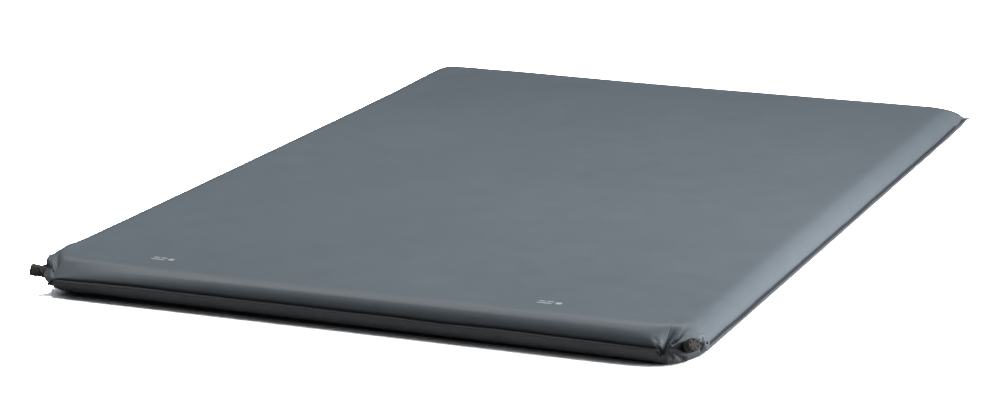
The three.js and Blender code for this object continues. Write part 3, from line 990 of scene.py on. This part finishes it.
def weave(m, place, pitch):
    """A plain weave's height, from the cloth's own flat coordinates."""
    split = m.add("ShaderNodeSeparateXYZ", {"Vector": place})
    wave_x, wave_y = (m.math("SINE", m.times(split.outputs[i], math.pi / pitch)) for i in (0, 1))
    ridge_x, ridge_y = m.math("ABSOLUTE", wave_x), m.math("ABSOLUTE", wave_y)

    def thread(ridge, other):
        return m.times(ridge, m.plus(0.45, m.times(0.55, other)))

    # warp over weft in a checker: the sign of the two waves' product chooses the top thread
    pick = m.math("GREATER_THAN", m.times(wave_x, wave_y), 0.0)
    warp = m.times(pick, thread(ridge_x, ridge_y))
    weft = m.times(m.minus(1.0, pick), m.times(thread(ridge_y, ridge_x), 0.8))
    return m.plus(warp, weft)


def top_fabric():
    """Blue-grey woven fabric with faint clouding."""
    m = Nodes("top_fabric")
    height = weave(m, m.cloth_place(), pitch=0.00055)
    place = m.object_place()
    broad = m.noise(place, scale=2.2, detail=3.0, rough=0.55)
    cloud = m.noise(place, scale=16.0, detail=3.0, rough=0.6)
    fine = m.noise(place, scale=420.0, detail=2.0, rough=0.6)
    base = m.ramp(m.plus(m.times(broad, 0.6), m.times(cloud, 0.4)),
                  low=(0.30, colour(112, 122, 130)), high=(0.70, colour(119, 129, 137)))
    base = m.mix(m.times(fine, 0.10), base, colour(138, 146, 154))
    # painted shade: the gaps between the threads are darkened
    base = m.mix(m.times(m.minus(1.0, height), 0.16), base, colour(40, 44, 50))
    # painted shade on the welded rim and the foot of the front wall
    base = m.paint_rim_shade(base, share=0.92)
    normal = m.bump(cloud, strength=0.35, distance=0.0009)
    normal = m.bump(fine, strength=0.10, distance=0.0003, normal=normal)
    normal = m.bump(height, strength=0.30, distance=0.00012, normal=normal)
    m.principled(Base_Color=base, Roughness=m.vary(middle=0.47, noise=cloud, amount=0.10),
                 Normal=normal, Specular_IOR_Level=0.42, Sheen_Weight=0.06,
                 Sheen_Roughness=0.45, Sheen_Tint=(0.75, 0.82, 0.9, 1))
    return m.mat


def grip_dots(m, place, pitch):
    """1 on round dots set in diagonal rows, 0 between them."""
    split = m.add("ShaderNodeSeparateXYZ", {"Vector": place})
    squares = []
    for operation in ("ADD", "SUBTRACT"):
        diagonal = m.math(operation, split.outputs[0], split.outputs[1])
        cell = m.math("FRACT", m.math("DIVIDE", diagonal, pitch * 1.4142))
        offset = m.minus(cell, 0.5)
        squares.append(m.times(offset, offset))
    radius = m.math("SQRT", m.plus(*squares))
    return m.remap(radius, start=0.36, end=0.24, low=0.0, high=1.0, curve="SMOOTHSTEP")


def low_fabric():
    """Grey fabric with a close grid of raised, darker grip dots."""
    m = Nodes("grip_fabric")
    flat_place = m.cloth_place()
    height = weave(m, flat_place, pitch=0.0007)
    dot = grip_dots(m, flat_place, pitch=0.0042)
    cloud = m.noise(m.object_place(), scale=18.0, detail=3.0, rough=0.6)
    base = m.ramp(cloud, low=(0.3, colour(124, 129, 135)), high=(0.7, colour(134, 139, 145)))
    # painted shade: the gaps between the threads are darkened
    base = m.mix(m.times(m.minus(1.0, height), 0.3), base, colour(60, 63, 67))
    base = m.mix(dot, base, colour(92, 95, 100))
    # painted shade on the welded rim
    base = m.paint_rim_shade(base, share=0.60)
    normal = m.bump(cloud, strength=0.35, distance=0.0008)
    normal = m.bump(height, strength=0.35, distance=0.00015, normal=normal)
    normal = m.bump(dot, strength=0.7, distance=0.0004, normal=normal)
    m.principled(Base_Color=base, Roughness=m.minus(0.72, m.times(dot, 0.22)),
                 Normal=normal, Specular_IOR_Level=0.3)
    return m.mat


def moulded(name, dark, pale, rough, specular):
    """Moulded plastic or rubber: fine spark-eroded grain, slightly paler on its edges."""
    m = Nodes(name)
    place = m.object_place()
    grain = m.noise(place, scale=2280.0, detail=2.0, rough=0.6)
    cloud = m.noise(place, scale=90.0, detail=3.0, rough=0.6)
    edge = m.add("ShaderNodeNewGeometry").outputs["Pointiness"]
    # sharp convex edges, found by pointiness, are made paler
    pale_edge_mask = m.ramp(edge, low=(0.50, grey(0)), high=(0.58, grey(1)))
    base = m.ramp(cloud, low=(0.3, colour(*dark)), high=(0.75, colour(*pale)))
    pale_edge_colour = colour(*[min(255, byte + 38) for byte in pale])
    base = m.mix(m.times(pale_edge_mask, 0.25), base, pale_edge_colour)
    m.principled(Base_Color=base, Roughness=m.vary(middle=rough, noise=grain, amount=0.25),
                 Normal=m.bump(grain, strength=0.25, distance=0.00012),
                 Specular_IOR_Level=specular)
    return m.mat


def foam_material():
    m = Nodes("open_cell_foam")
    place = m.object_place()
    cells = m.add("ShaderNodeTexVoronoi", {"Vector": place, "Scale": 900.0}).outputs[0]
    tint = m.noise(place, scale=12.0)
    # painted shade: the cells' middles, the pits of the open pores, are darker
    base = m.ramp(m.times(cells, 1.6),
                  low=(0.0, colour(150, 140, 105)), high=(0.6, colour(214, 205, 168)))
    base = m.mix(m.times(tint, 0.3), base, colour(196, 186, 150))
    m.principled(Base_Color=base, Roughness=0.95,
                 Normal=m.bump(cells, strength=0.8, distance=0.0006))
    return m.mat


def print_material():
    m = Nodes("pale_print")
    speckle = m.noise(m.object_place(), scale=700.0, detail=2.0, rough=0.7)
    base = m.ramp(speckle, low=(0.35, colour(176, 180, 184)), high=(0.7, colour(214, 217, 219)))
    m.principled(Base_Color=base, Roughness=0.6,
                 Normal=m.bump(speckle, strength=0.2, distance=0.0001))
    return m.mat


# start of a CAD piece's name: material, dark and pale colour, roughness, specular level
PLASTICS = {
    "valve_boot": ("boot_plastic", (30, 31, 33), (44, 45, 48), 0.55, 0.4),
    "valve_stem": ("stem_plastic", (22, 22, 23), (34, 34, 36), 0.42, 0.4),
    "valve_o_ring": ("ring_rubber", (12, 12, 12), (20, 20, 21), 0.35, 0.5),
    "valve_seal": ("seal_rubber", (16, 16, 17), (26, 26, 27), 0.5, 0.4),
    "valve_cap": ("cap_plastic", (38, 37, 35), (56, 54, 51), 0.5, 0.4),
}


def finish_valves():
    """Material and softened edges for the valves' CAD pieces."""
    plastics = {start: moulded(*row) for start, row in PLASTICS.items()}
    for name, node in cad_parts.items():
        for start, mat in plastics.items():
            if name.startswith(start):
                node.data.materials.clear()
                node.data.materials.append(mat)
                bevel = node.modifiers.new("edges", "BEVEL")
                bevel.width = 0.00022
                bevel.segments = 2
                bevel.limit_method = "ANGLE"
                bevel.angle_limit = math.radians(35)
                bevel.harden_normals = False


# ---------------------------------------------------------------- floor, world, lights, camera
FLOOR_SEEN, FLOOR_BOUNCE = 4.5, 0.46            # floor colour to the camera, and to other rays
WORLD_STRENGTH = 0.02
# name, place, looks at, width, height, watts
LIGHTS = (
    ("side_low", (3.34, -0.44, 0.55), (0.2, 0, 0.05), 0.5, 2.0, 120.0),
    ("overhead", (-0.15, 0.45, 3.37), (0, 0, 0), 0.9, 0.9, 40.0),
    ("left_high", (-1.66, -0.71, 2.88), (0, 0, 0), 0.9, 0.9, 35.0),
    ("right_high", (2.40, -0.07, 2.40), (0, 0, 0), 0.9, 0.9, 25.0),
    ("right_mid", (3.19, -0.09, 1.16), (0, 0, 0), 0.5, 1.2, 11.0),
    ("front_left", (-1.15, -1.95, 2.55), (0, 0, 0), 0.8, 0.8, 1.0),
)
CAMERA_PLACE = (2.1200, -5.5105, 1.5059)
CAMERA_DOWN, CAMERA_TURN = math.radians(14.378), math.radians(21.969)
SENSOR, LENS = 36.0, 104.14584                  # millimetres


def floor_level(m):
    """How bright the camera sees the floor, by place."""
    where = m.add("ShaderNodeSeparateXYZ", {"Vector": m.world_place()})
    x, y = where.outputs[0], where.outputs[1]
    # the soft shade close to the front edge
    slant = m.minus(m.times(x, 0.010), 0.9435)
    ahead = m.math("MAXIMUM", m.minus(slant, y), 0.0)
    beside = m.math("MAXIMUM", m.minus(m.math("ABSOLUTE", m.plus(x, 0.0)), 0.577), 0.0)
    away = m.math("SQRT", m.plus(m.times(ahead, ahead), m.times(beside, beside)))
    shade = m.remap(away, start=0.014, end=0.058, low=0.10, high=1.0, curve="SMOOTHSTEP")
    behind = m.remap(y, start=-0.93, end=-0.90, low=0.0, high=1.0)
    level = m.math("MAXIMUM", shade, behind)
    # painted light: brighter left of the mat's front, over the shadow that the lamps cast there
    level = m.times(level, m.remap(x, start=-0.575, end=-0.640, low=1.0, high=4.0))
    # the floor stays evenly pale far from the lights
    reach = m.add("ShaderNodeVectorMath", {0: m.world_place()},
                  operation="LENGTH").outputs["Value"]
    return m.times(level, m.plus(1.0, m.math("POWER", m.math("DIVIDE", reach, 2.0), 3.5)))


def floor_material():
    m = Nodes("studio_floor")
    to_camera = m.add("ShaderNodeLightPath").outputs["Is Camera Ray"]
    tone = m.noise(m.object_place(), scale=1.3, detail=2.0)
    level = floor_level(m)
    plain = m.ramp(tone, low=(0.0, grey(FLOOR_SEEN)), high=(1.0, grey(FLOOR_SEEN * 1.03)))
    levels = m.add("ShaderNodeCombineXYZ", {0: level, 1: level, 2: level})
    shaded = m.add("ShaderNodeVectorMath", {0: plain, 1: levels}, operation="MULTIPLY")
    seen = m.add("ShaderNodeBsdfDiffuse", {"Color": shaded})
    bounced = m.add("ShaderNodeBsdfDiffuse", {"Color": grey(FLOOR_BOUNCE)})
    blend = m.add("ShaderNodeMixShader", {0: to_camera, 1: bounced, 2: seen})
    m.put(m.out.inputs[0], blend)
    return m.mat


def build_floor():
    bpy.ops.mesh.primitive_plane_add(size=60, location=(0, 0, -0.0004))
    floor = bpy.context.object
    floor.name = "floor"
    floor.data.materials.append(floor_material())


def build_world():
    """A faint cool sky; the camera sees a plain white wall, which lights nothing."""
    world = bpy.data.worlds.new("studio")
    bpy.context.scene.world = world
    world.use_nodes = True
    tree = world.node_tree
    sky = tree.nodes["Background"]
    sky.inputs["Color"].default_value = (0.92, 0.96, 1.0, 1)
    sky.inputs["Strength"].default_value = WORLD_STRENGTH
    wall = tree.nodes.new("ShaderNodeBackground")
    wall.inputs["Color"].default_value = (1, 1, 1, 1)
    wall.inputs["Strength"].default_value = 1.0
    to_camera = tree.nodes.new("ShaderNodeLightPath").outputs["Is Camera Ray"]
    either = tree.nodes.new("ShaderNodeMixShader")
    for socket, source in enumerate((to_camera, sky.outputs[0], wall.outputs[0])):
        tree.links.new(source, either.inputs[socket])
    tree.links.new(either.outputs[0], tree.nodes["World Output"].inputs[0])


def area_light(name, place, target, width, height, watts):
    light = bpy.data.lights.new(name, "AREA")
    light.shape = "RECTANGLE"
    light.size, light.size_y, light.energy = width, height, watts
    lamp = place_object(name, light)
    lamp.location = place
    lamp.rotation_euler = (Vector(target) - Vector(place)).to_track_quat("-Z", "Y").to_euler()


def build_camera():
    aim = Vector((-math.sin(CAMERA_TURN) * math.cos(CAMERA_DOWN),
                  math.cos(CAMERA_TURN) * math.cos(CAMERA_DOWN), -math.sin(CAMERA_DOWN)))
    right = Vector((math.cos(CAMERA_TURN), math.sin(CAMERA_TURN), 0))
    lens = bpy.data.cameras.new("camera")
    lens.sensor_fit = "HORIZONTAL"
    lens.sensor_width = SENSOR
    lens.lens = LENS
    lens.clip_end = 200
    camera = place_object("camera", lens)
    basis = Matrix((right, right.cross(aim), -aim)).transposed().to_4x4()
    basis.translation = Vector(CAMERA_PLACE)
    camera.matrix_world = basis
    bpy.context.scene.camera = camera


# ---------------------------------------------------------------- the whole
top_sheet, low_sheet = build_cover()
tabs = [punched_tab("rim_tab_" + side, *TABS[side]) for side in ("left", "right")]
foam = foam_slab()
marks = [printed_mark(name, x, y, top_sheet) for name, x, y in MARKS]

top_mat, low_mat, foam_mat, ink = top_fabric(), low_fabric(), foam_material(), print_material()
for pieces, mat in (((top_sheet, *tabs), top_mat), ((low_sheet,), low_mat),
                    ((foam,), foam_mat), (marks, ink)):
    for piece in pieces:
        piece.data.materials.append(mat)
finish_valves()

for piece in (top_sheet, low_sheet, foam, *tabs, *marks):
    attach(piece, "pad")
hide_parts("top_cover")
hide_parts("bottom_cover")
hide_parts("foam_core")

build_floor()
build_world()
for row in LIGHTS:
    area_light(*row)
view = bpy.context.scene.view_settings
view.view_transform = "Standard"
view.look = "None"
view.exposure = 0.0
view.gamma = 1.0
build_camera()

bpy.context.view_layer.update()
